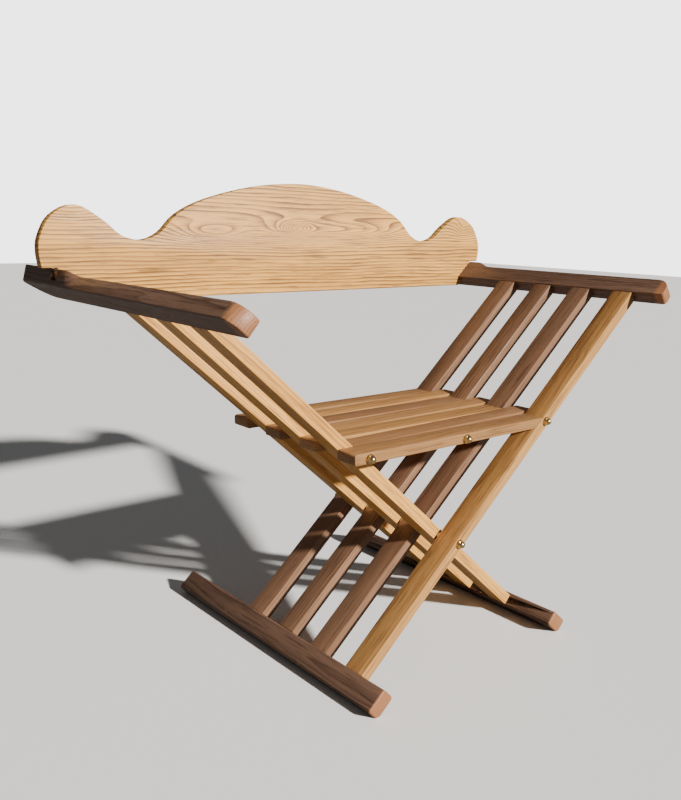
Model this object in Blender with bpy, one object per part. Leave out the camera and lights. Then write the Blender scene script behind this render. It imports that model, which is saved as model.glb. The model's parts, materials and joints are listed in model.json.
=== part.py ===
"""Folding armchair of interleaved slats, with a shaped back board that lifts off.

Two sets of leaning legs cross on one steel rod. Each set carries an arm at its top
and a foot rail at its bottom. The seat is two more sets of slats, hung on a rod in
each leg set and joined in the middle by a fourth rod, so the whole chair folds flat
like a pair of scissors. The back board sits in a slot in each arm.

Metres, +Z up, the sitter faces -Y.
"""

import math

import bmesh
import bpy
from mathutils import Vector

# Frame layout
LEAN = math.radians(48.5)       # angle of every leg from the upright
SIN_LEAN = math.sin(LEAN)
COS_LEAN = math.cos(LEAN)
LANE_COUNT = 7                  # slats stand side by side in this many lanes along Y
MIDDLE_LANE = 4
LANE_PITCH = 0.047
SLAT_DEPTH = 0.041              # every slat, along Y
JOINT_GAP = 0.0003              # play between touching pieces

# Legs, measured along the leg from the crossing rod
LEG_WIDTH = 0.0205
ARM_UNDERSIDE = 0.600
FOOT_TOP = 0.279
SEAT_ROD_REACH = 0.282
TENON_LENGTH = 0.020
TENON_SHOULDER = 0.004

# Arms: underside to top, outer to inner face, front to rear end
ARM_HEIGHT = 0.0363
ARM_OUTER = -0.01495
ARM_INNER = 0.0111
ARM_FRONT = -0.2245
ARM_REAR = 0.4228
ARM_RAISE = 0.012               # step up of the top's inner edge behind the ogee
OGEE_START = 0.2194
OGEE_END = 0.2554
ARM_NOSE_RADIUS = 0.024
ARM_CORNER_RADIUS = 0.006
ARM_SWEEP_START = 0.335         # where the underside starts to curve up
ARM_SWEEP_RISE = 0.030
ARM_HEEL_RADIUS = 0.004

# Foot rails
FOOT_HEIGHT = 0.0433
FOOT_OUTER = -0.0130
FOOT_INNER = 0.0160
FOOT_FRONT = -0.2217
FOOT_REAR = 0.3686
FOOT_CORNER_RADIUS = 0.0055
FOOT_END_INSET = 0.002
FOOT_FLAT_CUT = 0.005           # depth of the flat that rests on the floor

# Seat slats
SEAT_HEIGHT = 0.0172
SEAT_CENTRE_RISE = 0.0012       # slat centre line above the rods
SEAT_OVERHANG = 0.0285          # length beyond the slat's own seat rod
SEAT_SAG = 0.0013               # middle rod below the seat rods
SEAT_END_GAP = 0.0015           # between a slat's far end and the leg in its lane
SEAT_CORNER_RADIUS = 0.0035

# Back board
BOARD_FRONT = 0.284
BOARD_THICKNESS = 0.018
BOARD_BOTTOM = 0.3865
BOARD_SHOULDER = 0.4385         # underside of the lobes that rest on the arms
BOARD_TONGUE = 0.4775           # half width of the tongues under the lobes
SLOT_PLAY = 0.0005
SLOT_FLOOR = -0.0055            # bottom of the arm's slot, from the leg's centre line
BOARD_END_PLAY = 0.0006
CREST = ((0.0, 0.582), (0.100, 0.573), (0.200, 0.549), (0.258, 0.523), (0.292, 0.493),
         (0.326, 0.481), (0.362, 0.488), (0.392, 0.511), (0.436, 0.533), (0.478, 0.517),
         (0.500, 0.486), (0.505, 0.462), (0.5025, BOARD_SHOULDER))
CREST_SHIFT = 0.006             # the crest stands this far left of the middle
CREST_HOLD = 8                  # power by which that shift fades towards the board's ends

# Rods, domed nuts and spacers
ROD_RADIUS = 0.004
HOLE_RADIUS = 0.0045
ROD_OVERHANG = 0.0075
NUT_FLANGE_RADIUS = 0.008
NUT_FLANGE_HEIGHT = 0.0015
NUT_DOME_RADIUS = 0.0066
NUT_HEIGHT = 0.0115
NUT_BORE_DEPTH = 0.0085
SPACER_RADIUS = 0.008
ROUND_SIDES = 12
ARC_STEPS = 4
CREST_STEPS = 4
CURVE_STEPS = 6
SMOOTH_ANGLE = math.radians(40)
WELD = 0.000001
CUT_MARGIN = 0.02

# Places worked out from the sizes above
LEFT = -1
RIGHT = 1
STACK_HALF = (MIDDLE_LANE - 1) * LANE_PITCH + SLAT_DEPTH / 2
SPACER_LENGTH = LANE_PITCH - SLAT_DEPTH - 2 * JOINT_GAP
FOOT_END = FOOT_TOP + FOOT_HEIGHT
CROSSING_HEIGHT = FOOT_END * COS_LEAN - FOOT_OUTER * SIN_LEAN - FOOT_FLAT_CUT
CROSSING_Y = -(ARM_FRONT + ARM_REAR) / 2
SEAT_ROD_X = SEAT_ROD_REACH * SIN_LEAN
SEAT_ROD_Z = SEAT_ROD_REACH * COS_LEAN
SEAT_TILT = math.atan2(SEAT_SAG, SEAT_ROD_X)

# Colour, roughness and metallic value of each finish
OAK = ((0.60, 0.37, 0.18, 1.0), 0.45, 0.0)
WALNUT = ((0.16, 0.085, 0.045, 1.0), 0.5, 0.0)
BRASS = ((0.80, 0.58, 0.25, 1.0), 0.2, 1.0)
STEEL = ((0.55, 0.55, 0.56, 1.0), 0.35, 1.0)


def clear_scene():
    """Remove every object that the scene starts with."""
    for existing in list(bpy.data.objects):
        bpy.data.objects.remove(existing)


def lane_y(lane):
    """Distance of a lane's centre behind the middle lane."""
    return (lane - MIDDLE_LANE) * LANE_PITCH


def leg_point(side, along, inward, y=0.0):
    """Point so far up a leaning leg from the crossing and so far inward of its centre."""
    x = side * (SIN_LEAN * along - COS_LEAN * inward)
    z = COS_LEAN * along + SIN_LEAN * inward
    return Vector((x, y, z))


def make_material(name, finish):
    """A Principled material with the finish's colour, roughness and metallic value."""
    colour, roughness, metallic = finish
    material = bpy.data.materials.new(name + "_finish")
    material.use_nodes = True
    shader = material.node_tree.nodes["Principled BSDF"]
    shader.inputs["Base Color"].default_value = colour
    shader.inputs["Roughness"].default_value = roughness
    shader.inputs["Metallic"].default_value = metallic
    material.diffuse_color = colour
    return material


def make_object(name, shape, holder, place):
    """Turn a bmesh into an object whose origin lies at place under its holder."""
    bmesh.ops.recalc_face_normals(shape, faces=shape.faces[:])
    mesh = bpy.data.meshes.new(name)
    shape.to_mesh(mesh)
    shape.free()
    made = bpy.data.objects.new(name, mesh)
    bpy.context.scene.collection.objects.link(made)
    made.parent = holder
    made.location = place
    return made


def make_part(name, shape, finish, holder, place=(0.0, 0.0, 0.0)):
    """Make one visible piece with its own material."""
    part = make_object(name, shape, holder, place)
    part.data.materials.append(make_material(name, finish))
    return part


def make_round_part(name, shape, finish, holder, place):
    """Make a turned piece, shaded smooth but for its sharp edges."""
    part = make_part(name, shape, finish, holder, place)
    part.data.shade_smooth()
    part.data.set_sharp_from_angle(angle=SMOOTH_ANGLE)
    return part


def make_cutter(name, shape, holder, place=(0.0, 0.0, 0.0)):
    """Make a hidden body that only cuts others."""
    cutter = make_object(name, shape, holder, place)
    cutter.hide_render = True
    cutter.display_type = "WIRE"
    return cutter


def make_axis(name, place, holder=None):
    """Put an empty on a joint's axis."""
    axis = bpy.data.objects.new(name, None)
    bpy.context.scene.collection.objects.link(axis)
    axis.parent = holder
    axis.location = place
    return axis


def cut(part, cutter):
    """Take the cutter's shape out of the part."""
    modifier = part.modifiers.new(cutter.name, "BOOLEAN")
    modifier.operation = "DIFFERENCE"
    modifier.solver = "EXACT"
    modifier.object = cutter


def lofted(rings):
    """A closed body through rings of equally many points, capped at both ends."""
    shape = bmesh.new()
    loops = [[shape.verts.new(point) for point in ring] for ring in rings]
    for lower, upper in zip(loops, loops[1:]):
        for index in range(len(lower)):
            after = (index + 1) % len(lower)
            shape.faces.new((lower[index], lower[after], upper[after], upper[index]))
    shape.faces.new(loops[0])
    shape.faces.new(loops[-1])
    return shape


def extruded(outline, sweep):
    """A closed body swept in a straight line from a flat outline."""
    return lofted([outline, [point + sweep for point in outline]])


def turned(profile, closed=False):
    """A body turned about Y from points given as radius and distance along Y."""
    shape = bmesh.new()
    points = [shape.verts.new((radius, distance, 0.0)) for radius, distance in profile]
    edges = [shape.edges.new(pair) for pair in zip(points, points[1:])]
    if closed:
        edges.append(shape.edges.new((points[-1], points[0])))
    bmesh.ops.spin(shape, geom=points + edges, cent=(0.0, 0.0, 0.0), axis=(0.0, 1.0, 0.0),
                   angle=math.tau, steps=ROUND_SIDES, use_duplicate=False)
    bmesh.ops.remove_doubles(shape, verts=shape.verts[:], dist=WELD)
    return shape


def round_corner(before, corner, after, radius):
    """Points of an arc that rounds one corner of an outline."""
    back = (before - corner).normalized()
    ahead = (after - corner).normalized()
    half_angle = back.angle(ahead) / 2
    centre = corner + (back + ahead).normalized() * radius / math.sin(half_angle)
    reach = radius / math.tan(half_angle)
    start = (corner + back * reach - centre).normalized()
    end = (corner + ahead * reach - centre).normalized()
    arc = [start.slerp(end, step / ARC_STEPS) for step in range(ARC_STEPS + 1)]
    return [centre + direction * radius for direction in arc]


def rounded(corners, radii):
    """An outline with each corner rounded by its own radius, or left sharp at 0."""
    outline = []
    for index, (corner, radius) in enumerate(zip(corners, radii)):
        if radius == 0:
            outline.append(corner)
            continue
        before = corners[index - 1]
        after = corners[(index + 1) % len(corners)]
        outline.extend(round_corner(before, corner, after, radius))
    return outline


def smooth_curve(points):
    """A Catmull-Rom curve through all the points."""
    first = points[0] * 2 - points[1]
    last = points[-1] * 2 - points[-2]
    padded = [first] + points + [last]
    curve = []
    for a, b, c, d in zip(padded, padded[1:], padded[2:], padded[3:]):
        for step in range(CREST_STEPS):
            t = step / CREST_STEPS
            tail = (b * 3 - a - c * 3 + d) * t ** 3
            curve.append((b * 2 + (c - a) * t + (a * 2 - b * 5 + c * 4 - d) * t ** 2 + tail) / 2)
    curve.append(points[-1])
    return curve


def leg_block(side, along, inward, depth, y=0.0):
    """A block squared to a leaning leg, between two values along each of its directions."""
    rings = []
    for reach in along:
        corners = ((inward[0], depth[0]), (inward[1], depth[0]),
                   (inward[1], depth[1]), (inward[0], depth[1]))
        rings.append([leg_point(side, reach, offset, y + back) for offset, back in corners])
    return lofted(rings)


def leg_ring(side, along, shrink):
    """A leg's cross-section, made smaller all round by shrink."""
    half_width = LEG_WIDTH / 2 - shrink
    half_depth = SLAT_DEPTH / 2 - shrink
    corners = ((-1, -1), (1, -1), (1, 1), (-1, 1))
    return [leg_point(side, along, half_width * a, half_depth * b) for a, b in corners]


def make_leg(name, side, lane, crossing, cutters):
    """One leg with a shouldered tenon at both ends and a hole for each of its rods."""
    top = ARM_UNDERSIDE - JOINT_GAP
    bottom = -FOOT_TOP + JOINT_GAP
    rings = [leg_ring(side, bottom - TENON_LENGTH, TENON_SHOULDER),
             leg_ring(side, bottom, TENON_SHOULDER),
             leg_ring(side, bottom, 0.0),
             leg_ring(side, top, 0.0),
             leg_ring(side, top, TENON_SHOULDER),
             leg_ring(side, top + TENON_LENGTH, TENON_SHOULDER)]
    leg = make_part(name, lofted(rings), OAK, crossing, (0.0, lane_y(lane), 0.0))
    for cutter in cutters:
        cut(leg, cutter)


def cut_mortises(rail, name, side, lanes, mouth, floor, crossing):
    """Cut a mortise for each leg of a set, from the rail's mouth down to its floor."""
    half_width = LEG_WIDTH / 2 - TENON_SHOULDER + JOINT_GAP
    half_depth = SLAT_DEPTH / 2 - TENON_SHOULDER + JOINT_GAP
    for lane in lanes:
        shape = leg_block(side, (mouth, floor), (-half_width, half_width),
                          (-half_depth, half_depth))
        cutter = make_cutter(f"{name}_mortise_{lane}", shape, crossing, (0.0, lane_y(lane), 0.0))
        cut(rail, cutter)


def arm_profile(step_up):
    """Side view of one face of an arm, as Y and height above the leg's arm underside."""
    top = ARM_HEIGHT
    crest = ARM_HEIGHT + step_up
    ogee = []
    for step in range(CURVE_STEPS + 1):
        t = step / CURVE_STEPS
        rise = step_up * (3 * t ** 2 - 2 * t ** 3)
        ogee.append(Vector((OGEE_START + (OGEE_END - OGEE_START) * t, top + rise)))
    sweep = []
    for step in range(CURVE_STEPS + 1):
        t = 1 - step / CURVE_STEPS
        sweep.append(Vector((ARM_SWEEP_START + (ARM_REAR - ARM_SWEEP_START) * t,
                             ARM_SWEEP_RISE * t ** 2)))
    lower_front = Vector((ARM_FRONT, 0.0))
    upper_front = Vector((ARM_FRONT, top))
    nose = round_corner(lower_front, upper_front, ogee[0], ARM_NOSE_RADIUS)
    heel = round_corner(ogee[-1], Vector((ARM_REAR, crest)), sweep[0], ARM_HEEL_RADIUS)
    toe = round_corner(sweep[-1], lower_front, upper_front, ARM_CORNER_RADIUS)
    return nose + ogee + heel + sweep + toe


def make_arm(name, side, lanes, crossing):
    """An arm with an ogee step on its inner edge, an upswept rear end and a board slot."""
    faces = ((ARM_OUTER, 0.0), (ARM_INNER, ARM_RAISE))
    rings = [[leg_point(side, ARM_UNDERSIDE + height, inward, y)
              for y, height in arm_profile(step_up)] for inward, step_up in faces]
    arm = make_part(name, lofted(rings), WALNUT, crossing)
    mouth = ARM_UNDERSIDE - CUT_MARGIN
    floor = ARM_UNDERSIDE + TENON_LENGTH + JOINT_GAP
    cut_mortises(arm, name, side, lanes, mouth, floor, crossing)
    slot_top = ARM_UNDERSIDE + ARM_HEIGHT + ARM_RAISE + CUT_MARGIN
    slot = leg_block(side, (mouth, slot_top), (SLOT_FLOOR, ARM_INNER + CUT_MARGIN),
                     (BOARD_FRONT - SLOT_PLAY, BOARD_FRONT + BOARD_THICKNESS + SLOT_PLAY))
    cut(arm, make_cutter(name + "_board_slot", slot, crossing))


def foot_ring(side, y, inset):
    """A foot rail's cross-section with one corner cut to a flat that meets the floor."""
    inner = FOOT_INNER - inset
    outer = FOOT_OUTER + inset
    top = -FOOT_TOP - inset
    bottom = -FOOT_END + inset
    floor = inset * (SIN_LEAN + COS_LEAN) / 2 - CROSSING_HEIGHT
    flat_inward = (floor - COS_LEAN * bottom) / SIN_LEAN
    flat_along = (floor - SIN_LEAN * outer) / COS_LEAN
    corners = [leg_point(side, top, inner, y), leg_point(side, bottom, inner, y),
               leg_point(side, bottom, flat_inward, y), leg_point(side, flat_along, outer, y),
               leg_point(side, top, outer, y)]
    radius = FOOT_CORNER_RADIUS - inset
    return rounded(corners, (radius, radius, 0.0, 0.0, radius))


def make_foot_rail(name, side, lanes, crossing):
    """A foot rail with softened ends and a mortise for each leg of its set."""
    rings = [foot_ring(side, FOOT_FRONT, FOOT_END_INSET),
             foot_ring(side, FOOT_FRONT + FOOT_END_INSET, 0.0),
             foot_ring(side, FOOT_REAR - FOOT_END_INSET, 0.0),
             foot_ring(side, FOOT_REAR, FOOT_END_INSET)]
    rail = make_part(name, lofted(rings), WALNUT, crossing)
    floor = -FOOT_TOP - TENON_LENGTH - JOINT_GAP
    cut_mortises(rail, name, side, lanes, -FOOT_TOP + CUT_MARGIN, floor, crossing)


def seat_slat_outline(side):
    """Front view of a seat slat that hangs on the seat rod of one side."""
    ahead = Vector((-side * math.cos(SEAT_TILT), 0.0, -math.sin(SEAT_TILT)))
    up = Vector((-side * math.sin(SEAT_TILT), 0.0, math.cos(SEAT_TILT)))
    rod = Vector((side * SEAT_ROD_X, 0.0, SEAT_ROD_Z))
    far_face = leg_point(-side, 0.0, LEG_WIDTH / 2 + SEAT_END_GAP)
    across = leg_point(-side, 0.0, 1.0)
    corners = []
    for height in (SEAT_CENTRE_RISE - SEAT_HEIGHT / 2, SEAT_CENTRE_RISE + SEAT_HEIGHT / 2):
        line = rod + up * height
        reach = (far_face - line).dot(across) / ahead.dot(across)
        corners.append((up * height - ahead * SEAT_OVERHANG, up * height + ahead * reach))
    (near_bottom, far_bottom), (near_top, far_top) = corners
    outline = [near_bottom, far_bottom, far_top, near_top]
    return rounded(outline, (SEAT_CORNER_RADIUS, 0.0, 0.0, SEAT_CORNER_RADIUS))


def make_seat_slat(name, side, lane, seat_axis, cutters):
    """A seat slat, cut off at its far end along the leg that stands in its lane."""
    front = Vector((0.0, -SLAT_DEPTH / 2, 0.0))
    outline = [point + front for point in seat_slat_outline(side)]
    shape = extruded(outline, Vector((0.0, SLAT_DEPTH, 0.0)))
    slat = make_part(name, shape, OAK, seat_axis, (0.0, lane_y(lane), 0.0))
    for cutter in cutters:
        cut(slat, cutter)


def board_outline():
    """Front view of the back board, from its left shoulder over the crest and back."""
    right_half = [Vector((x, 0.0, z)) for x, z in CREST]
    left_half = [Vector((-x, 0.0, z)) for x, z in CREST[:0:-1]]
    crest = smooth_curve(left_half + right_half)
    half_length = max(x for x, _ in CREST)
    for point in crest:
        point.x -= CREST_SHIFT * (1 - (abs(point.x) / half_length) ** CREST_HOLD)
    end = SLOT_FLOOR + BOARD_END_PLAY
    knee_along = (BOARD_TONGUE + COS_LEAN * end) / SIN_LEAN
    foot_along = (BOARD_BOTTOM - SIN_LEAN * end) / COS_LEAN
    right_end = [Vector((BOARD_TONGUE, 0.0, BOARD_SHOULDER)),
                 leg_point(RIGHT, knee_along, end),
                 leg_point(RIGHT, foot_along, end)]
    left_end = [Vector((-point.x, 0.0, point.z)) for point in reversed(right_end)]
    return crest + right_end + left_end


def make_back_board(crossing):
    """The shaped board whose slanted ends drop into the arms' slots."""
    shape = extruded(board_outline(), Vector((0.0, BOARD_THICKNESS, 0.0)))
    make_part("back_board", shape, OAK, crossing, (0.0, BOARD_FRONT, 0.0))


def cylinder(radius, front, rear):
    """A plain cylinder along Y."""
    return turned([(0.0, front), (radius, front), (radius, rear), (0.0, rear)])


def nut_profile(facing):
    """Half section of a domed nut with a flange and a blind bore."""
    dome_start = NUT_HEIGHT - NUT_DOME_RADIUS
    profile = [(0.0, NUT_BORE_DEPTH), (HOLE_RADIUS, NUT_BORE_DEPTH), (HOLE_RADIUS, 0.0),
               (NUT_FLANGE_RADIUS, 0.0), (NUT_FLANGE_RADIUS, NUT_FLANGE_HEIGHT),
               (NUT_DOME_RADIUS, NUT_FLANGE_HEIGHT)]
    for step in range(ARC_STEPS):
        angle = step / ARC_STEPS * math.pi / 2
        profile.append((NUT_DOME_RADIUS * math.cos(angle),
                        dome_start + NUT_DOME_RADIUS * math.sin(angle)))
    profile.append((0.0, NUT_HEIGHT))
    return [(radius, facing * distance) for radius, distance in profile]


def make_nuts(name, holder, x=0.0, z=0.0):
    """The domed nuts on the front and rear ends of one rod."""
    for end, facing in (("front", -1), ("rear", 1)):
        place = (x, facing * (STACK_HALF + JOINT_GAP), z)
        make_round_part(f"{name}_nut_{end}", turned(nut_profile(facing)), BRASS, holder, place)


def make_spacers(name, holder):
    """The rings that keep neighbouring slats apart on one rod."""
    half = SPACER_LENGTH / 2
    ring = [(HOLE_RADIUS, -half), (SPACER_RADIUS, -half), (SPACER_RADIUS, half),
            (HOLE_RADIUS, half)]
    for gap in range(1, LANE_COUNT):
        place = (0.0, lane_y(gap) + LANE_PITCH / 2, 0.0)
        make_round_part(f"{name}_spacer_{gap}", turned(ring, closed=True), STEEL, holder, place)


def make_rod(name, holder):
    """One whole rod with its nuts and spacers."""
    end = STACK_HALF + ROD_OVERHANG
    make_round_part(name, cylinder(ROD_RADIUS, -end, end), STEEL, holder, (0.0, 0.0, 0.0))
    make_nuts(name, holder)
    make_spacers(name, holder)


def make_centre_rod(crossing, z):
    """The middle seat rod, in one length for each lane so that the two halves can part."""
    half = LANE_PITCH / 2 - JOINT_GAP / 2
    for lane in range(1, LANE_COUNT + 1):
        front = -ROD_OVERHANG - SLAT_DEPTH / 2 if lane == 1 else -half
        rear = ROD_OVERHANG + SLAT_DEPTH / 2 if lane == LANE_COUNT else half
        make_round_part(f"centre_rod_{lane}", cylinder(ROD_RADIUS, front, rear), STEEL,
                        crossing, (0.0, lane_y(lane), z))
    make_nuts("centre_rod", crossing, z=z)


def hole_cutter(name, holder, x=0.0, z=0.0):
    """A cutter for the holes that one rod passes through."""
    end = STACK_HALF + CUT_MARGIN
    return make_cutter(name, cylinder(HOLE_RADIUS, -end, end), holder, (x, 0.0, z))


def main():
    """Build the chair."""
    clear_scene()
    crossing = make_axis("crossing_axis", (0.0, CROSSING_Y, CROSSING_HEIGHT))
    left_axis = make_axis("left_seat_axis", (-SEAT_ROD_X, 0.0, SEAT_ROD_Z), crossing)
    right_axis = make_axis("right_seat_axis", (SEAT_ROD_X, 0.0, SEAT_ROD_Z), crossing)
    centre_z = SEAT_ROD_Z - SEAT_SAG
    crossing_hole = hole_cutter("crossing_hole", crossing)
    left_hole = hole_cutter("left_seat_hole", left_axis)
    right_hole = hole_cutter("right_seat_hole", right_axis)
    centre_hole = hole_cutter("centre_hole", crossing, z=centre_z)

    odd_lanes = range(1, LANE_COUNT + 1, 2)
    even_lanes = range(2, LANE_COUNT + 1, 2)
    for lane in odd_lanes:
        make_leg(f"leg_right_{lane}", RIGHT, lane, crossing, (crossing_hole, right_hole))
        make_seat_slat(f"seat_slat_left_{lane}", LEFT, lane, left_axis, (left_hole, centre_hole))
    for lane in even_lanes:
        make_leg(f"leg_left_{lane}", LEFT, lane, crossing, (crossing_hole, left_hole))
        make_seat_slat(f"seat_slat_right_{lane}", RIGHT, lane, right_axis,
                       (right_hole, centre_hole))
    make_arm("arm_right", RIGHT, odd_lanes, crossing)
    make_arm("arm_left", LEFT, even_lanes, crossing)
    make_foot_rail("foot_rail_left", RIGHT, odd_lanes, crossing)
    make_foot_rail("foot_rail_right", LEFT, even_lanes, crossing)
    make_back_board(crossing)
    make_rod("crossing_rod", crossing)
    make_rod("left_seat_rod", left_axis)
    make_rod("right_seat_rod", right_axis)
    make_centre_rod(crossing, centre_z)
    bpy.context.view_layer.update()


main()
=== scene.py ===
"""Looks of a folding armchair of interleaved slats with a lift-off back board."""

import json
import math

import bmesh
import bpy
from mathutils import Matrix, Vector


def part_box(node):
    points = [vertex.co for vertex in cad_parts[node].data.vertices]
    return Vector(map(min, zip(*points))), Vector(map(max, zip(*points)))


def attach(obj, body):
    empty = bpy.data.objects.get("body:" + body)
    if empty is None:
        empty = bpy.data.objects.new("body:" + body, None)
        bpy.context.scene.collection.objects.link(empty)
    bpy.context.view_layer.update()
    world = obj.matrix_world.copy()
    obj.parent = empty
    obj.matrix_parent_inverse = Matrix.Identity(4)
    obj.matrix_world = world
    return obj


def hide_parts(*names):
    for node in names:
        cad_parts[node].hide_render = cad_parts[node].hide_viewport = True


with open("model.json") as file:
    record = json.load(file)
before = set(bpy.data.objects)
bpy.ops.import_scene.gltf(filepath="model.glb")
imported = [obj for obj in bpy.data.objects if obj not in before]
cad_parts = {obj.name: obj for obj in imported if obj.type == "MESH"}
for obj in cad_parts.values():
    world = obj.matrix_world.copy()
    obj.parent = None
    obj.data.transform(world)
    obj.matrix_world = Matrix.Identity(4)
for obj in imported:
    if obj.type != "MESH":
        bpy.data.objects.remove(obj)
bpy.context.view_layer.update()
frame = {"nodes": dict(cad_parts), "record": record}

bl_info = {
    "name": "Folding slat armchair",
    "version": (1, 0, 0),
    "blender": (4, 5, 0),
    "location": "View3D > Sidebar > Armchair",
    "description": "Finishes the wood and metal of a folding armchair of interleaved slats",
    "category": "Object",
}

# Layout that the finished pieces read from the frame
LANES = range(1, 8)
JOINT_OF = {joint["name"]: joint for joint in frame["record"]["behaviour"]["joints"]}
CROSSING = Vector(JOINT_OF["fold"]["pos_m"])
LEFT_ROD = Vector(JOINT_OF["seat_left_hinge"]["pos_m"])
RIGHT_ROD = Vector(JOINT_OF["seat_right_hinge"]["pos_m"])
LEAN = math.atan2(RIGHT_ROD.x, RIGHT_ROD.z - CROSSING.z)
LANE_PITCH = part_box("leg_right_3")[0][1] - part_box("leg_left_2")[0][1]
CENTRE_ROD_Z = (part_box("centre_rod_1")[0][2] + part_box("centre_rod_1")[1][2]) / 2
BOARD_LOW, BOARD_HIGH = (Vector(corner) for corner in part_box("back_board"))

# How each set of pieces lies: the turn about Y and Z that lays the grain along X
ALONG_RIGHT_LEG = (0.0, math.pi / 2 - LEAN, 0.0)
ALONG_LEFT_LEG = (0.0, math.pi / 2 + LEAN, 0.0)
ALONG_X = (0.0, 0.0, 0.0)
ALONG_Y = (0.0, 0.0, -math.pi / 2)

# Tolerances for cleaning and softening the meshes
WELD = 0.00001
FLAT_ANGLE = math.radians(0.5)
EDGE_ANGLE = math.radians(30)
SMOOTH_ANGLE = math.radians(35)
EDGE_SEGMENTS = 3

# Wood: how tightly each noise is packed along, across and up the grain, per metre
SWAY_SCALE = (3.0, 22.0, 22.0)
RIPPLE_SCALE = (9.0, 90.0, 90.0)
UNEVEN_SCALE = (5.0, 60.0, 60.0)
FIBRE_SCALE = (28.0, 900.0, 900.0)
STREAK_SCALE = (11.0, 270.0, 270.0)
TONE_SCALE = (2.2, 16.0, 16.0)
DENT_SCALE = (70.0, 150.0, 150.0)

# Wood: how far the noises move the rings, in metres, and how strong each mark is
RING_SWAY = 0.016
RING_RIPPLE = 0.0022
LATE_WOOD_POWER = 2.2
LATE_WOOD_END = 0.90
PORE_DARKNESS = 0.55
PORE_STRENGTH = 0.62
TONE_DEPTH = 0.32
END_RING_DARKNESS = 0.62
RELIEF_DEPTH = 0.0003
RELIEF_STRENGTH = 0.6

# Spacer rings on a whole rod, and on one half of the seat
RINGS_PER_ROD = 6
RINGS_PER_SEAT_HALF = 3

# Stage
FLOOR_HALF = 12.0
FLOOR_SHADE_SHARE = 0.25        # floor brightness that reaches the chair
KEY_COLOUR = (1.0, 0.96, 0.90)
CAMERA_PLACE = (-0.9928, -1.1322, 0.7387)
CAMERA_YAW = math.radians(41.506)
CAMERA_PITCH = math.radians(-18.779)
CAMERA_ROLL = math.radians(1.522)
CAMERA_SHIFT = (-0.0288, 0.1251)
SENSOR_HEIGHT = 24.0
NEAR_CLIP = 0.01


class ArmchairColours(bpy.types.PropertyGroup):
    """Colours of the chair's finishes."""

    oak_light: bpy.props.FloatVectorProperty(
        name="Oak light", description="Early wood of the pale slats",
        subtype="COLOR", size=3, min=0.0, max=1.0, default=(0.90, 0.46, 0.10))
    oak_dark: bpy.props.FloatVectorProperty(
        name="Oak dark", description="Ring lines of the pale slats",
        subtype="COLOR", size=3, min=0.0, max=1.0, default=(0.40, 0.160, 0.038))
    russet_light: bpy.props.FloatVectorProperty(
        name="Russet light", description="Early wood of the redder slats",
        subtype="COLOR", size=3, min=0.0, max=1.0, default=(0.30, 0.160, 0.088))
    russet_dark: bpy.props.FloatVectorProperty(
        name="Russet dark", description="Ring lines of the redder slats",
        subtype="COLOR", size=3, min=0.0, max=1.0, default=(0.115, 0.056, 0.031))
    walnut_light: bpy.props.FloatVectorProperty(
        name="Walnut light", description="Early wood of the arms and foot rails",
        subtype="COLOR", size=3, min=0.0, max=1.0, default=(0.20, 0.112, 0.072))
    walnut_dark: bpy.props.FloatVectorProperty(
        name="Walnut dark", description="Ring lines of the arms and foot rails",
        subtype="COLOR", size=3, min=0.0, max=1.0, default=(0.052, 0.022, 0.012))
    # Painted light: this end-grain colour is paler than the walnut and stands in for the light on the
    # front ends; the rings drawn on it are the wood's own.
    lit_end_grain: bpy.props.FloatVectorProperty(
        name="End grain", description="Cut ends of the arms and foot rails",
        subtype="COLOR", size=3, min=0.0, max=1.0, default=(0.34, 0.145, 0.062))
    brass: bpy.props.FloatVectorProperty(
        name="Brass", description="Domed nuts",
        subtype="COLOR", size=3, min=0.0, max=1.0, default=(0.78, 0.57, 0.27))
    steel: bpy.props.FloatVectorProperty(
        name="Steel", description="Rods and spacer rings",
        subtype="COLOR", size=3, min=0.0, max=1.0, default=(0.40, 0.38, 0.35))
    floor: bpy.props.FloatVectorProperty(
        name="Floor", description="Plain studio floor",
        subtype="COLOR", size=3, min=0.0, max=1.0, default=(0.93, 0.93, 0.93))


class ArmchairSizes(bpy.types.PropertyGroup):
    """Sizes of the fine detail."""

    slat_edge: bpy.props.FloatProperty(
        name="Slat edge", description="Rounding of the slats' long edges",
        subtype="DISTANCE", unit="LENGTH", default=0.0013)
    arm_edge: bpy.props.FloatProperty(
        name="Arm edge", description="Rounding of the arms' edges",
        subtype="DISTANCE", unit="LENGTH", default=0.005)
    foot_edge: bpy.props.FloatProperty(
        name="Foot edge", description="Rounding of the foot rails' end edges",
        subtype="DISTANCE", unit="LENGTH", default=0.0012)
    board_edge: bpy.props.FloatProperty(
        name="Board edge", description="Rounding of the back board's edges",
        subtype="DISTANCE", unit="LENGTH", default=0.0012)
    ring_spacing: bpy.props.FloatProperty(
        name="Ring spacing", description="Distance between growth rings",
        subtype="DISTANCE", unit="LENGTH", default=0.0042)
    washer_radius: bpy.props.FloatProperty(
        name="Washer radius", description="Outer radius of the spacer rings",
        subtype="DISTANCE", unit="LENGTH", default=0.008)
    washer_bore: bpy.props.FloatProperty(
        name="Washer bore", description="Inner radius of the spacer rings",
        subtype="DISTANCE", unit="LENGTH", default=0.0045)
    washer_thickness: bpy.props.FloatProperty(
        name="Washer thickness", description="Length of one spacer ring along its rod",
        subtype="DISTANCE", unit="LENGTH", default=0.0054)


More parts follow.
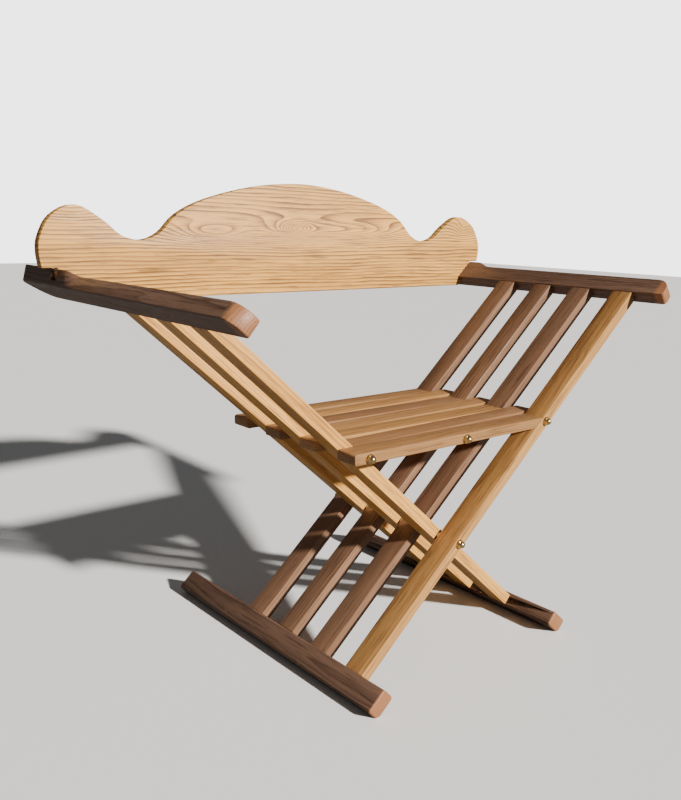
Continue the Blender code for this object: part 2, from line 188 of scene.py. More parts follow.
class ArmchairStage(bpy.types.PropertyGroup):
    """Light and camera."""

    key_strength: bpy.props.FloatProperty(
        name="Key strength", description="Strength of the low front light", default=8.5)
    key_height: bpy.props.FloatProperty(
        name="Key height", description="Angle of the front light above the floor",
        subtype="ANGLE", unit="ROTATION", default=math.radians(26.5))
    key_turn: bpy.props.FloatProperty(
        name="Key turn", description="Turn of the front light towards the right arm",
        subtype="ANGLE", unit="ROTATION", default=math.radians(10.0))
    key_softness: bpy.props.FloatProperty(
        name="Key softness", description="Apparent width of the front light",
        subtype="ANGLE", unit="ROTATION", default=math.radians(3.0))
    sky_strength: bpy.props.FloatProperty(
        name="Sky strength", description="Strength of the even light all round", default=0.10)
    backdrop_strength: bpy.props.FloatProperty(
        name="Backdrop strength", description="Brightness of the plain backdrop", default=4.5)
    lens: bpy.props.FloatProperty(
        name="Lens", description="Focal length for a 24 mm high sensor",
        subtype="DISTANCE_CAMERA", default=24.65)


def colours():
    """The colour settings."""
    return bpy.context.scene.armchair_colours


def sizes():
    """The size settings."""
    return bpy.context.scene.armchair_sizes


def stage_settings():
    """The light and camera settings."""
    return bpy.context.scene.armchair_stage


def with_alpha(colour):
    """A colour socket's value for an opaque colour."""
    return (*colour, 1.0)


class Recipe:
    """Short calls that build one material's nodes."""

    def __init__(self, name):
        self.material = bpy.data.materials.new(name)
        self.material.use_nodes = True
        self.tree = self.material.node_tree
        self.shader = self.tree.nodes["Principled BSDF"]

    def feed(self, socket, value):
        """Link a socket to another, or set its value."""
        if isinstance(value, bpy.types.NodeSocket):
            self.tree.links.new(value, socket)
        else:
            socket.default_value = value

    def math(self, operation, *values):
        """A Math node's result."""
        node = self.tree.nodes.new("ShaderNodeMath")
        node.operation = operation
        for socket, value in zip(node.inputs, values):
            self.feed(socket, value)
        return node.outputs[0]

    def stretch(self, vector, factors):
        """A vector multiplied by one factor for each direction."""
        node = self.tree.nodes.new("ShaderNodeVectorMath")
        node.operation = "MULTIPLY"
        self.feed(node.inputs[0], vector)
        self.feed(node.inputs[1], factors)
        return node.outputs[0]

    def place(self, turn, shift):
        """Object coordinates, turned and then shifted."""
        source = self.tree.nodes.new("ShaderNodeTexCoord")
        mapping = self.tree.nodes.new("ShaderNodeMapping")
        self.feed(mapping.inputs["Vector"], source.outputs["Object"])
        mapping.inputs["Rotation"].default_value = turn
        mapping.inputs["Location"].default_value = shift
        return mapping.outputs[0]

    def parts(self, vector):
        """The three parts of a vector."""
        node = self.tree.nodes.new("ShaderNodeSeparateXYZ")
        self.feed(node.inputs[0], vector)
        return node.outputs[0], node.outputs[1], node.outputs[2]

    def noise(self, vector, detail=2.0, roughness=0.5):
        """Smooth noise between 0 and 1."""
        node = self.tree.nodes.new("ShaderNodeTexNoise")
        self.feed(node.inputs["Vector"], vector)
        node.inputs["Scale"].default_value = 1.0
        node.inputs["Detail"].default_value = detail
        node.inputs["Roughness"].default_value = roughness
        return node.outputs[0]

    def step(self, value, low, high, start=0.0, end=1.0):
        """A smooth step from start to end as the value goes from low to high."""
        node = self.tree.nodes.new("ShaderNodeMapRange")
        node.interpolation_type = "SMOOTHSTEP"
        for socket, given in zip(node.inputs, (value, low, high, start, end)):
            self.feed(socket, given)
        return node.outputs[0]

    def mix(self, factor, first, second, blend="MIX"):
        """Two colours mixed."""
        node = self.tree.nodes.new("ShaderNodeMix")
        node.data_type = "RGBA"
        node.blend_type = blend
        self.feed(node.inputs[0], factor)
        self.feed(node.inputs[6], first)
        self.feed(node.inputs[7], second)
        return node.outputs[2]

    def bump(self, height, depth, strength=1.0):
        """Relief from a height between 0 and 1."""
        node = self.tree.nodes.new("ShaderNodeBump")
        node.inputs["Strength"].default_value = strength
        node.inputs["Distance"].default_value = depth
        self.feed(node.inputs["Height"], height)
        self.feed(self.shader.inputs["Normal"], node.outputs[0])


def knot_lift(recipe, along, up, knot):
    """A rise in the ring pattern, round the middle of a knot or a closed flame."""
    middle_x, middle_z, half_length, half_height, lift = knot
    run = recipe.math("DIVIDE", recipe.math("SUBTRACT", along, middle_x), half_length)
    rise = recipe.math("DIVIDE", recipe.math("SUBTRACT", up, middle_z), half_height)
    away = recipe.math("ADD", recipe.math("MULTIPLY", run, run), recipe.math("MULTIPLY", rise, rise))
    fall = recipe.math("EXPONENT", recipe.math("MULTIPLY", away, -1.0))
    return recipe.math("MULTIPLY", fall, lift)


def wood(name, light, dark, turn, shift, pith, spacing, knots=(), ends=None, gloss=0.42,
         line_strength=1.0, worn=False):
    """Wood with rings round a pith, pores along the grain and slow changes of tone."""
    recipe = Recipe(name)
    place = recipe.place(turn, shift)
    along, across, up = recipe.parts(place)
    sway = recipe.noise(recipe.stretch(place, SWAY_SCALE), 3.0)
    ripple = recipe.noise(recipe.stretch(place, RIPPLE_SCALE), 2.0)
    side = recipe.math("SUBTRACT", across, pith[0])
    height = recipe.math("SUBTRACT", up, pith[1])
    squared = recipe.math("ADD", recipe.math("MULTIPLY", side, side),
                          recipe.math("MULTIPLY", height, height))
    radius = recipe.math("SQRT", squared)
    radius = recipe.math("MULTIPLY_ADD", sway, RING_SWAY, radius)
    radius = recipe.math("MULTIPLY_ADD", ripple, RING_RIPPLE, radius)
    for knot in knots:
        radius = recipe.math("ADD", radius, knot_lift(recipe, along, up, knot))
    ring = recipe.math("FRACT", recipe.math("DIVIDE", radius, spacing))
    late = recipe.math("MULTIPLY", recipe.math("POWER", ring, LATE_WOOD_POWER),
                       recipe.step(ring, LATE_WOOD_END, 1.0, 1.0, 0.0))
    uneven = recipe.noise(recipe.stretch(place, UNEVEN_SCALE), 2.0)
    late = recipe.math("MULTIPLY", late, recipe.step(uneven, 0.25, 0.75, 0.45, 1.25))
    fibre = recipe.noise(recipe.stretch(place, FIBRE_SCALE), 3.0, 0.65)
    streak = recipe.noise(recipe.stretch(place, STREAK_SCALE), 3.0, 0.6)
    pores = recipe.math("MAXIMUM", recipe.step(fibre, 0.54, 0.74),
                        recipe.step(streak, 0.52, 0.66))
    tone = recipe.noise(recipe.stretch(place, TONE_SCALE), 2.0)

    colour = recipe.mix(recipe.math("MULTIPLY", late, line_strength),
                        with_alpha(light), with_alpha(dark))
    pore_colour = [part * PORE_DARKNESS for part in dark]
    colour = recipe.mix(recipe.math("MULTIPLY", pores, PORE_STRENGTH), colour, with_alpha(pore_colour))
    shade = recipe.step(tone, 0.25, 0.75, 0.0, TONE_DEPTH)
    colour = recipe.mix(shade, colour, with_alpha(dark))
    # Painted light: only a band at the front end takes the paler end-grain colour with darker rings,
    # standing in for the light on that end; the rear end keeps the side grain.
    if ends:
        front, reach, lit_end_colour = ends
        lit_end_mask = recipe.step(along, front + reach, front + reach * 0.55)
        lit_cut_face = recipe.mix(late, with_alpha(lit_end_colour),
                              with_alpha([part * END_RING_DARKNESS for part in lit_end_colour]))
        colour = recipe.mix(lit_end_mask, colour, lit_cut_face)
    if worn:
        spots = recipe.noise(recipe.stretch(place, DENT_SCALE), 1.0)
        dents = recipe.step(spots, 0.765, 0.80)
        colour = recipe.mix(dents, colour, with_alpha([part * 2.6 + 0.03 for part in light]))
    recipe.feed(recipe.shader.inputs["Base Color"], colour)
    recipe.feed(recipe.shader.inputs["Roughness"],
                recipe.step(fibre, 0.3, 0.75, gloss - 0.05, gloss + 0.14))
    relief = recipe.math("ADD", recipe.math("MULTIPLY", pores, -0.6),
                         recipe.math("MULTIPLY", late, -0.35))
    recipe.bump(relief, RELIEF_DEPTH, RELIEF_STRENGTH)
    return recipe.material


def metal(name, colour, roughness, scratch):
    """Metal with fine turning marks and a slightly uneven polish."""
    recipe = Recipe(name)
    place = recipe.place(ALONG_X, (0.0, 0.0, 0.0))
    marks = recipe.noise(recipe.stretch(place, (300.0, 2600.0, 300.0)), 3.0, 0.6)
    smear = recipe.noise(recipe.stretch(place, (160.0, 160.0, 160.0)), 3.0)
    dull = [part * 0.62 for part in colour]
    recipe.feed(recipe.shader.inputs["Base Color"],
                recipe.mix(recipe.step(smear, 0.45, 0.8, 0.0, 0.7), with_alpha(colour),
                           with_alpha(dull)))
    recipe.feed(recipe.shader.inputs["Roughness"],
                recipe.step(smear, 0.3, 0.8, roughness, roughness + 0.16))
    recipe.shader.inputs["Metallic"].default_value = 1.0
    recipe.bump(marks, 0.00005, scratch)
    return recipe.material


def floor_paint():
    """Matt pale paint that throws little light back up onto the chair."""
    recipe = Recipe("studio_floor_paint")
    tone = recipe.noise(recipe.place(ALONG_X, (0.0, 0.0, 0.0)), 4.0)
    pale = with_alpha(colours().floor)
    muted = with_alpha([part * 0.97 for part in colours().floor])
    recipe.feed(recipe.shader.inputs["Base Color"], recipe.mix(tone, pale, muted))
    recipe.shader.inputs["Roughness"].default_value = 0.9
    recipe.shader.inputs["Specular IOR Level"].default_value = 0.1
    dim = recipe.tree.nodes.new("ShaderNodeBsdfDiffuse")
    dim.inputs["Color"].default_value = with_alpha([part * FLOOR_SHADE_SHARE for part in colours().floor])
    rays = recipe.tree.nodes.new("ShaderNodeLightPath")
    either = recipe.tree.nodes.new("ShaderNodeMixShader")
    recipe.feed(either.inputs[0], rays.outputs["Is Camera Ray"])
    recipe.feed(either.inputs[1], dim.outputs[0])
    recipe.feed(either.inputs[2], recipe.shader.outputs[0])
    recipe.feed(recipe.tree.nodes["Material Output"].inputs["Surface"], either.outputs[0])
    return recipe.material


def clean_copy(node_name):
    """A merged and simplified copy of a CAD node's mesh, in its own place."""
    source = frame["nodes"][node_name]
    shape = bmesh.new()
    shape.from_mesh(source.data)
    shape.transform(source.matrix_world)
    bmesh.ops.remove_doubles(shape, verts=shape.verts[:], dist=WELD)
    bmesh.ops.dissolve_limit(shape, angle_limit=FLAT_ANGLE, verts=shape.verts[:],
                             edges=shape.edges[:])
    mesh = bpy.data.meshes.new(node_name + "_finished")
    shape.to_mesh(mesh)
    shape.free()
    return mesh


def finish_wood(node_name, body, material, edge):
    """Replace a CAD node with a copy that has softened edges and a wood finish."""
    mesh = clean_copy(node_name)
    mesh.shade_smooth()
    mesh.materials.append(material)
    piece = bpy.data.objects.new(node_name + "_finished", mesh)
    bpy.context.scene.collection.objects.link(piece)
    soften = piece.modifiers.new("Soft edges", "BEVEL")
    soften.width = edge
    soften.segments = EDGE_SEGMENTS
    soften.limit_method = "ANGLE"
    soften.angle_limit = EDGE_ANGLE
    soften.harden_normals = True
    soften.use_clamp_overlap = True
    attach(piece, body)
    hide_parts(node_name)
    return piece


def fail(message):
    """Stop the script with a plain message."""
    raise RuntimeError(message)


class ARMCHAIR_OT_legs(bpy.types.Operator):
    """Finish the seven crossing legs"""

    bl_idname = "armchair.legs"
    bl_label = "Finish legs"

    def execute(self, context):
        """Give each leg soft edges and its own board's grain."""
        tones = colours()
        pale = (tones.oak_light, tones.oak_dark)
        red = (tones.russet_light, tones.russet_dark)
        middling = tuple(Vector(one).lerp(Vector(other), 0.5) for one, other in zip(pale, red))
        shades = {1: middling, 2: pale, 3: red, 4: pale, 5: red, 6: pale, 7: red}
        for lane in LANES:
            leans_right = lane % 2 == 1
            name = f"leg_right_{lane}" if leans_right else f"leg_left_{lane}"
            body = "leg_set_right" if leans_right else "leg_set_left"
            turn = ALONG_RIGHT_LEG if leans_right else ALONG_LEFT_LEG
            light, dark = shades[lane]
            pith = (CROSSING.y + 0.075 * (-1) ** lane, 0.02 * lane - 0.10)
            material = wood(f"{name}_oak", light, dark, turn, (0.37 * lane, 0.0, 0.0), pith,
                            sizes().ring_spacing)
            finish_wood(name, body, material, sizes().slat_edge)
        return {"FINISHED"}


class ARMCHAIR_OT_seat(bpy.types.Operator):
    """Finish the seven seat slats"""

    bl_idname = "armchair.seat"
    bl_label = "Finish seat slats"

    def execute(self, context):
        """Give each seat slat soft edges and its own board's grain."""
        tones = colours()
        for lane in LANES:
            hangs_left = lane % 2 == 1
            name = f"seat_slat_left_{lane}" if hangs_left else f"seat_slat_right_{lane}"
            body = "seat_left" if hangs_left else "seat_right"
            # Painted shade: the seat slats are the legs' oak drawn half or more towards russet and
            # darkened by a fifth, standing in for seat tops that lie in less light; the change from lane
            # to lane is the wood's own.
            light = Vector(tones.oak_light).lerp(Vector(tones.russet_light), 0.5 + 0.2 * (lane % 3))
            light = light * 0.8
            dark = Vector(tones.oak_dark).lerp(Vector(tones.russet_dark), 0.6)
            pith = (CROSSING.y + LANE_PITCH * (lane - 4) + 0.03 * (-1) ** lane,
                    CENTRE_ROD_Z - 0.05 - 0.01 * lane)
            material = wood(f"{name}_oak", light, dark, ALONG_X, (0.53 * lane, 0.0, 0.0), pith,
                            sizes().ring_spacing)
            finish_wood(name, body, material, sizes().slat_edge)
        return {"FINISHED"}


class ARMCHAIR_OT_arms(bpy.types.Operator):
    """Finish the two arms"""

    bl_idname = "armchair.arms"
    bl_label = "Finish arms"

    def execute(self, context):
        """Give each arm rounded edges, dark grain, worn spots and end grain at the front, painted paler
        for the light falling on it.
        """
        tones = colours()
        for side, name, body in ((1, "arm_right", "leg_set_right"), (-1, "arm_left", "leg_set_left")):
            low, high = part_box(name)
            pith = (-(low[0] + high[0]) / 2 + 0.035 * side, low[2] - 0.03)
            material = wood(f"{name}_walnut", tones.walnut_light, tones.walnut_dark, ALONG_Y,
                            (0.0, 0.0, 0.0), pith, sizes().ring_spacing,
                            ends=(low[1], 0.022, tones.lit_end_grain), gloss=0.45, worn=True)
            finish_wood(name, body, material, sizes().arm_edge)
        return {"FINISHED"}


class ARMCHAIR_OT_feet(bpy.types.Operator):
    """Finish the two foot rails"""

    bl_idname = "armchair.feet"
    bl_label = "Finish foot rails"

    def execute(self, context):
        """Give each foot rail soft ends, dark grain and end grain at the front, painted paler for the
        light falling on it.
        """
        tones = colours()
        for side, name, body in ((-1, "foot_rail_left", "leg_set_right"),
                                 (1, "foot_rail_right", "leg_set_left")):
            low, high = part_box(name)
            pith = (-(low[0] + high[0]) / 2 - 0.03 * side, high[2] + 0.02)
            material = wood(f"{name}_walnut", tones.walnut_light, tones.walnut_dark, ALONG_Y,
                            (0.0, 0.0, 0.0), pith, sizes().ring_spacing,
                            ends=(low[1], 0.005, tones.lit_end_grain), gloss=0.5, worn=True)
            finish_wood(name, body, material, sizes().foot_edge)
        return {"FINISHED"}


class ARMCHAIR_OT_board(bpy.types.Operator):
    """Finish the shaped back board"""

    bl_idname = "armchair.board"
    bl_label = "Finish back board"

    def execute(self, context):
        """Give the board soft edges and flame grain round a small knot."""
        tones = colours()
        height = BOARD_HIGH.z - BOARD_LOW.z
        crown = BOARD_LOW.z + height * 0.62
        knots = ((-0.015, crown - 0.005, 0.030, 0.011, 0.030),
                 (-0.015, crown - 0.008, 0.100, 0.026, 0.034),
                 (-0.195, crown - 0.014, 0.080, 0.018, 0.040),
                 (0.130, crown - 0.008, 0.125, 0.016, 0.032),
                 (-0.450, crown + 0.030, 0.060, 0.030, 0.016),
                 (0.455, crown + 0.002, 0.030, 0.020, 0.020))
        pith = (BOARD_LOW.y, BOARD_LOW.z - 1.5)
        deep = [part * 0.5 for part in tones.oak_dark]
        material = wood("back_board_oak", tones.oak_light, deep, ALONG_X,
                        (0.0, 0.0, 0.0), pith, sizes().ring_spacing * 1.6, knots, line_strength=1.5)
        finish_wood("back_board", "back_board", material, sizes().board_edge)
        return {"FINISHED"}


def ring_tree():
    """A node tree that sets spacer rings in a row along Y."""
    tree = bpy.data.node_groups.new("Spacer rings", "GeometryNodeTree")
    make = tree.interface.new_socket
    make("Geometry", in_out="OUTPUT", socket_type="NodeSocketGeometry")
    for label, kind in (("Count", "Int"), ("Start", "Vector"), ("Pitch", "Float"),
                        ("Radius", "Float"), ("Bore", "Float"), ("Thickness", "Float"),
                        ("Material", "Material")):
        make(label, in_out="INPUT", socket_type="NodeSocket" + kind)
    nodes = tree.nodes
    given = nodes.new("NodeGroupInput")
    result = nodes.new("NodeGroupOutput")
    row = nodes.new("GeometryNodeMeshLine")
    step = nodes.new("ShaderNodeCombineXYZ")
    circle = nodes.new("GeometryNodeCurvePrimitiveCircle")
    section = nodes.new("GeometryNodeCurvePrimitiveQuadrilateral")
    sweep = nodes.new("GeometryNodeCurveToMesh")
    lay = nodes.new("GeometryNodeTransform")
    spread = nodes.new("GeometryNodeInstanceOnPoints")
    realize = nodes.new("GeometryNodeRealizeInstances")
    paint = nodes.new("GeometryNodeSetMaterial")
    total = nodes.new("ShaderNodeMath")
    middle = nodes.new("ShaderNodeMath")
    width = nodes.new("ShaderNodeMath")
    middle.operation = "MULTIPLY"
    middle.inputs[1].default_value = 0.5
    width.operation = "SUBTRACT"
    circle.inputs["Resolution"].default_value = 32
    lay.inputs["Rotation"].default_value = (math.pi / 2, 0.0, 0.0)
    links = tree.links
    links.new(given.outputs["Count"], row.inputs["Count"])
    links.new(given.outputs["Start"], row.inputs["Start Location"])
    links.new(given.outputs["Pitch"], step.inputs["Y"])
    links.new(step.outputs[0], row.inputs["Offset"])
    links.new(given.outputs["Radius"], total.inputs[0])
    links.new(given.outputs["Bore"], total.inputs[1])
    links.new(total.outputs[0], middle.inputs[0])
    links.new(middle.outputs[0], circle.inputs["Radius"])
    links.new(given.outputs["Radius"], width.inputs[0])
    links.new(given.outputs["Bore"], width.inputs[1])
    links.new(width.outputs[0], section.inputs["Width"])
    links.new(given.outputs["Thickness"], section.inputs["Height"])
    links.new(circle.outputs["Curve"], sweep.inputs["Curve"])
    links.new(section.outputs["Curve"], sweep.inputs["Profile Curve"])
    links.new(sweep.outputs["Mesh"], lay.inputs["Geometry"])
    links.new(row.outputs["Mesh"], spread.inputs["Points"])
    links.new(lay.outputs["Geometry"], spread.inputs["Instance"])
    links.new(spread.outputs["Instances"], realize.inputs["Geometry"])
    links.new(realize.outputs["Geometry"], paint.inputs["Geometry"])
    links.new(given.outputs["Material"], paint.inputs["Material"])
    links.new(paint.outputs["Geometry"], result.inputs["Geometry"])
    return tree


def nut_tree():
    """A node tree that sets one fastener at each end of a rod along Y, facing outwards."""
    tree = bpy.data.node_groups.new("Rod end nuts", "GeometryNodeTree")
    make = tree.interface.new_socket
    make("Geometry", in_out="OUTPUT", socket_type="NodeSocketGeometry")
    for label, kind in (("Nut", "Object"), ("Front", "Vector"), ("Span", "Float"),
                        ("Material", "Material")):
        make(label, in_out="INPUT", socket_type="NodeSocket" + kind)
    nodes = tree.nodes
    given = nodes.new("NodeGroupInput")
    result = nodes.new("NodeGroupOutput")
    row = nodes.new("GeometryNodeMeshLine")
    row.inputs["Count"].default_value = 2
    step = nodes.new("ShaderNodeCombineXYZ")
    fetch = nodes.new("GeometryNodeObjectInfo")
    index = nodes.new("GeometryNodeInputIndex")
    half_turn = nodes.new("ShaderNodeMath")
    half_turn.operation = "MULTIPLY"
    half_turn.inputs[1].default_value = math.pi
    turn = nodes.new("ShaderNodeCombineXYZ")
    spread = nodes.new("GeometryNodeInstanceOnPoints")
    realize = nodes.new("GeometryNodeRealizeInstances")
    paint = nodes.new("GeometryNodeSetMaterial")
    links = tree.links
    links.new(given.outputs["Front"], row.inputs["Start Location"])
    links.new(given.outputs["Span"], step.inputs["Y"])
    links.new(step.outputs[0], row.inputs["Offset"])
    links.new(given.outputs["Nut"], fetch.inputs["Object"])
    links.new(index.outputs[0], half_turn.inputs[0])
    links.new(half_turn.outputs[0], turn.inputs["Z"])
    links.new(row.outputs["Mesh"], spread.inputs["Points"])
    links.new(fetch.outputs["Geometry"], spread.inputs["Instance"])
    links.new(turn.outputs[0], spread.inputs["Rotation"])
    links.new(spread.outputs["Instances"], realize.inputs["Geometry"])
    links.new(realize.outputs["Geometry"], paint.inputs["Geometry"])
    links.new(given.outputs["Material"], paint.inputs["Material"])
    links.new(paint.outputs["Geometry"], result.inputs["Geometry"])
    return tree


def grow(name, tree, values, body):
    """Run a node tree with the given inputs and keep its result as a plain mesh."""
    seed = bpy.data.objects.new(name + "_seed", bpy.data.meshes.new(name + "_seed"))
    bpy.context.scene.collection.objects.link(seed)
    modifier = seed.modifiers.new("Tree", "NODES")
    modifier.node_group = tree
    for item in tree.interface.items_tree:
        if item.in_out == "INPUT" and item.name in values:
            modifier[item.identifier] = values[item.name]
    seed.update_tag()
    bpy.context.view_layer.update()
    depsgraph = bpy.context.evaluated_depsgraph_get()
    mesh = bpy.data.meshes.new_from_object(seed.evaluated_get(depsgraph), depsgraph=depsgraph)
    bpy.data.objects.remove(seed)
    if not mesh.polygons:
        fail(f"{name} came out empty")
    shape = bmesh.new()
    shape.from_mesh(mesh)
    bmesh.ops.recalc_face_normals(shape, faces=shape.faces[:])
    shape.to_mesh(mesh)
    shape.free()
    mesh.shade_smooth()
    mesh.set_sharp_from_angle(angle=SMOOTH_ANGLE)
    piece = bpy.data.objects.new(name, mesh)
    bpy.context.scene.collection.objects.link(piece)
    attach(piece, body)
    return piece


def nut_template():
    """A domed nut with a washer base and a hexagonal waist, facing -Y from the origin."""
    rings = [(0.0044, 0.0, False), (0.0080, 0.0, False), (0.0080, 0.0011, False),
             (0.0077, 0.0015, False), (0.0070, 0.0016, True), (0.0071, 0.0019, True),
             (0.0071, 0.0042, True), (0.0066, 0.0047, False)]
    dome_radius = 0.0062
    dome_start = 0.0050
    for step in range(9):
        angle = step / 9 * math.pi / 2
        rings.append((dome_radius * math.cos(angle), dome_start + dome_radius * math.sin(angle),
                      False))
    sides = 36
    shape = bmesh.new()
    loops = []
    for radius, reach, six_sided in rings:
        loop = []
        for index in range(sides):
            angle = math.tau * index / sides
            corner = (angle % (math.pi / 3)) - math.pi / 6
            out = radius * 0.93 / math.cos(corner) if six_sided else radius
            loop.append(shape.verts.new((out * math.cos(angle), -reach, out * math.sin(angle))))
        loops.append(loop)
    for lower, upper in zip(loops, loops[1:]):
        for index in range(sides):
            after = (index + 1) % sides
            shape.faces.new((lower[index], lower[after], upper[after], upper[index]))
    tip = shape.verts.new((0.0, -dome_start - dome_radius, 0.0))
    back = shape.verts.new((0.0, 0.0, 0.0))
    for index in range(sides):
        after = (index + 1) % sides
        shape.faces.new((loops[-1][index], loops[-1][after], tip))
        shape.faces.new((loops[0][after], loops[0][index], back))
    bmesh.ops.recalc_face_normals(shape, faces=shape.faces[:])
    mesh = bpy.data.meshes.new("nut_pattern")
    shape.to_mesh(mesh)
    shape.free()
    pattern = bpy.data.objects.new("nut_pattern", mesh)
    bpy.context.scene.collection.objects.link(pattern)
    return pattern


# Each rod's name, place in XZ, the body that carries it and its nuts
RODS = (("crossing_rod", CROSSING.x, CROSSING.z, "crossing"),
        ("left_seat_rod", LEFT_ROD.x, LEFT_ROD.z, "leg_set_left"),
        ("right_seat_rod", RIGHT_ROD.x, RIGHT_ROD.z, "leg_set_right"),
        ("centre_rod", 0.0, CENTRE_ROD_Z, "seat_left"))


class ARMCHAIR_OT_nuts(bpy.types.Operator):
    """Make the domed nuts at the ends of the rods"""

    bl_idname = "armchair.nuts"
    bl_label = "Make domed nuts"

    def execute(self, context):
        """Set a pair of nuts on each rod."""
        brass = metal("polished_brass", colours().brass, 0.16, 0.12)
        tree = nut_tree()
        pattern = nut_template()
        for name, x, z, body in RODS:
            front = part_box(f"{name}_nut_front")[1][1]
            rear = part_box(f"{name}_nut_rear")[0][1]
            values = {"Nut": pattern, "Front": (x, front, z), "Span": rear - front,
                      "Material": brass}
            piece = grow(f"{name}_nuts", tree, values, body)
            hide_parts(f"{name}_nut_front", f"{name}_nut_rear")
        bpy.data.objects.remove(pattern)
        return {"FINISHED"}


class ARMCHAIR_OT_spacers(bpy.types.Operator):
    """Make the rings between neighbouring slats"""

    bl_idname = "armchair.spacers"
    bl_label = "Make spacer rings"

    def execute(self, context):
        """Set a row of rings on each rod, the middle rod's on both seat halves."""
        detail = sizes()
        steel = metal("ring_steel", colours().steel, 0.38, 0.2)
        tree = ring_tree()
        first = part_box("crossing_rod_spacer_1")
        start = (first[0][1] + first[1][1]) / 2
        shared = {"Radius": detail.washer_radius, "Bore": detail.washer_bore,
                  "Thickness": detail.washer_thickness, "Material": steel}
        for name, x, z, body in RODS[:3]:
            values = dict(shared, Count=RINGS_PER_ROD, Start=(x, start, z), Pitch=LANE_PITCH)
            piece = grow(f"{name}_spacers", tree, values, body)
            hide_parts(*(f"{name}_spacer_{gap}" for gap in range(1, RINGS_PER_ROD + 1)))
        for offset, body in ((0, "seat_left"), (1, "seat_right")):
            values = dict(shared, Count=RINGS_PER_SEAT_HALF, Pitch=2 * LANE_PITCH,
                          Start=(0.0, start + offset * LANE_PITCH, CENTRE_ROD_Z))
            grow(f"centre_rod_spacers_{body}", tree, values, body)
        return {"FINISHED"}


class ARMCHAIR_OT_rods(bpy.types.Operator):
    """Finish the steel rods"""

    bl_idname = "armchair.rods"
    bl_label = "Finish rods"

    def execute(self, context):
        """Give every rod brushed steel."""
        steel = metal("rod_steel", colours().steel, 0.34, 0.25)
        names = ["crossing_rod", "left_seat_rod", "right_seat_rod"]
        names += [f"centre_rod_{lane}" for lane in LANES]
        for name in names:
            node = frame["nodes"][name]
            for index in range(len(node.material_slots)):
                node.material_slots[index].material = steel
        return {"FINISHED"}


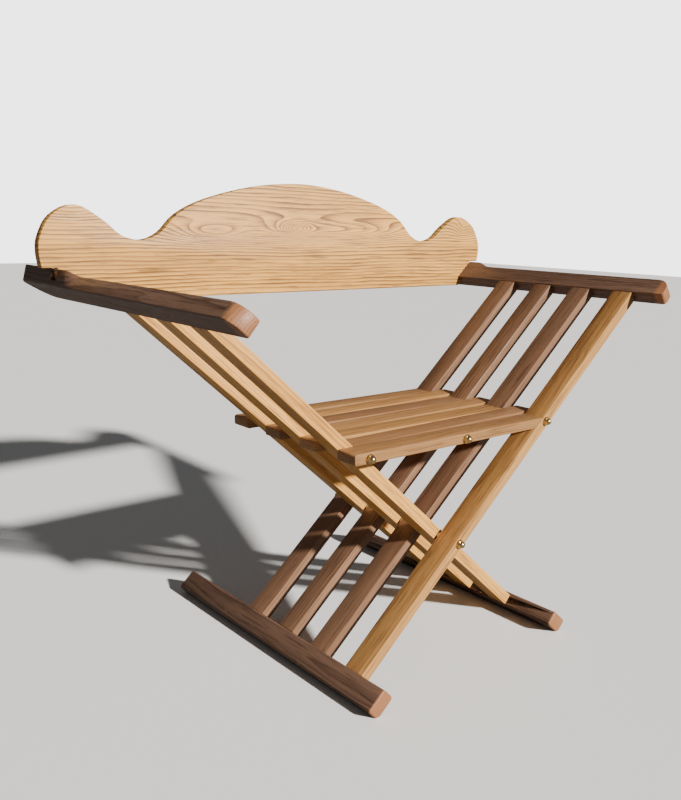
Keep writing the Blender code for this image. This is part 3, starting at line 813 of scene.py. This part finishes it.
class ARMCHAIR_OT_stage(bpy.types.Operator):
    """Lay the floor and set up the light and the camera"""

    bl_idname = "armchair.stage"
    bl_label = "Set up stage"

    def execute(self, context):
        """Add a pale floor, a low front light, an even sky and the camera."""
        self.lay_floor()
        self.light()
        self.aim_camera()
        return {"FINISHED"}

    def lay_floor(self):
        """Lay one large pale floor."""
        shape = bmesh.new()
        corners = [shape.verts.new((a * FLOOR_HALF, b * FLOOR_HALF, 0.0))
                   for a, b in ((-1, -1), (1, -1), (1, 1), (-1, 1))]
        shape.faces.new(corners)
        mesh = bpy.data.meshes.new("studio_floor")
        shape.to_mesh(mesh)
        shape.free()
        floor = bpy.data.objects.new("studio_floor", mesh)
        bpy.context.scene.collection.objects.link(floor)
        mesh.materials.append(floor_paint())

    def light(self):
        """Light the chair from low in front, with an even sky for the shade."""
        settings = stage_settings()
        lamp = bpy.data.lights.new("front_key", "SUN")
        lamp.energy = settings.key_strength
        lamp.angle = settings.key_softness
        lamp.color = KEY_COLOUR
        key = bpy.data.objects.new("front_key", lamp)
        bpy.context.scene.collection.objects.link(key)
        key.rotation_euler = (math.pi / 2 - settings.key_height, 0.0, settings.key_turn)
        sky = bpy.data.worlds.new("even_sky")
        sky.use_nodes = True
        background = sky.node_tree.nodes["Background"]
        background.inputs["Color"].default_value = (1.0, 1.0, 1.0, 1.0)
        background.inputs["Strength"].default_value = settings.sky_strength
        plain = sky.node_tree.nodes.new("ShaderNodeBackground")
        plain.inputs["Strength"].default_value = settings.backdrop_strength
        rays = sky.node_tree.nodes.new("ShaderNodeLightPath")
        either = sky.node_tree.nodes.new("ShaderNodeMixShader")
        links = sky.node_tree.links
        links.new(rays.outputs["Is Camera Ray"], either.inputs[0])
        links.new(background.outputs[0], either.inputs[1])
        links.new(plain.outputs[0], either.inputs[2])
        links.new(either.outputs[0], sky.node_tree.nodes["World Output"].inputs["Surface"])
        bpy.context.scene.world = sky

    def aim_camera(self):
        """Put the camera in front and to the left, above the arms."""
        settings = stage_settings()
        reach = math.cos(CAMERA_PITCH)
        ahead = Vector((math.sin(CAMERA_YAW) * reach, math.cos(CAMERA_YAW) * reach,
                        math.sin(CAMERA_PITCH)))
        level = Vector((math.cos(CAMERA_YAW), -math.sin(CAMERA_YAW), 0.0))
        upright = level.cross(ahead)
        right = level * math.cos(CAMERA_ROLL) + upright * math.sin(CAMERA_ROLL)
        up = upright * math.cos(CAMERA_ROLL) - level * math.sin(CAMERA_ROLL)
        lens = bpy.data.cameras.new("chair_camera")
        lens.sensor_fit = "VERTICAL"
        lens.sensor_height = SENSOR_HEIGHT
        lens.lens = settings.lens
        lens.shift_x, lens.shift_y = CAMERA_SHIFT
        lens.clip_start = NEAR_CLIP
        camera = bpy.data.objects.new("chair_camera", lens)
        bpy.context.scene.collection.objects.link(camera)
        turn = Matrix((right, up, -ahead)).transposed()
        camera.matrix_world = Matrix.Translation(CAMERA_PLACE) @ turn.to_4x4()
        bpy.context.scene.camera = camera


OPERATORS = (ARMCHAIR_OT_stage, ARMCHAIR_OT_legs, ARMCHAIR_OT_seat, ARMCHAIR_OT_arms,
             ARMCHAIR_OT_feet, ARMCHAIR_OT_board, ARMCHAIR_OT_rods, ARMCHAIR_OT_spacers,
             ARMCHAIR_OT_nuts)


class ARMCHAIR_PT_panel(bpy.types.Panel):
    """Settings and steps of the armchair"""

    bl_idname = "ARMCHAIR_PT_panel"
    bl_label = "Folding armchair"
    bl_space_type = "VIEW_3D"
    bl_region_type = "UI"
    bl_category = "Armchair"

    def draw(self, context):
        """List the settings and the steps in order."""
        layout = self.layout
        for group in (context.scene.armchair_colours, context.scene.armchair_sizes,
                      context.scene.armchair_stage):
            for name in group.__annotations__:
                layout.prop(group, name)
        for operator in OPERATORS:
            layout.operator(operator.bl_idname)


CLASSES = (ArmchairColours, ArmchairSizes, ArmchairStage, *OPERATORS, ARMCHAIR_PT_panel)


def register():
    """Register the classes and hang their settings on the scene."""
    for cls in CLASSES:
        bpy.utils.register_class(cls)
    bpy.types.Scene.armchair_colours = bpy.props.PointerProperty(type=ArmchairColours)
    bpy.types.Scene.armchair_sizes = bpy.props.PointerProperty(type=ArmchairSizes)
    bpy.types.Scene.armchair_stage = bpy.props.PointerProperty(type=ArmchairStage)


def unregister():
    """Take the settings off the scene and unregister the classes."""
    del bpy.types.Scene.armchair_stage
    del bpy.types.Scene.armchair_sizes
    del bpy.types.Scene.armchair_colours
    for cls in reversed(CLASSES):
        bpy.utils.unregister_class(cls)


def main():
    """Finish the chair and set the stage."""
    register()
    bpy.ops.armchair.stage()
    bpy.ops.armchair.legs()
    bpy.ops.armchair.seat()
    bpy.ops.armchair.arms()
    bpy.ops.armchair.feet()
    bpy.ops.armchair.board()
    bpy.ops.armchair.rods()
    bpy.ops.armchair.spacers()
    bpy.ops.armchair.nuts()


if __name__ == "__main__":
    main()
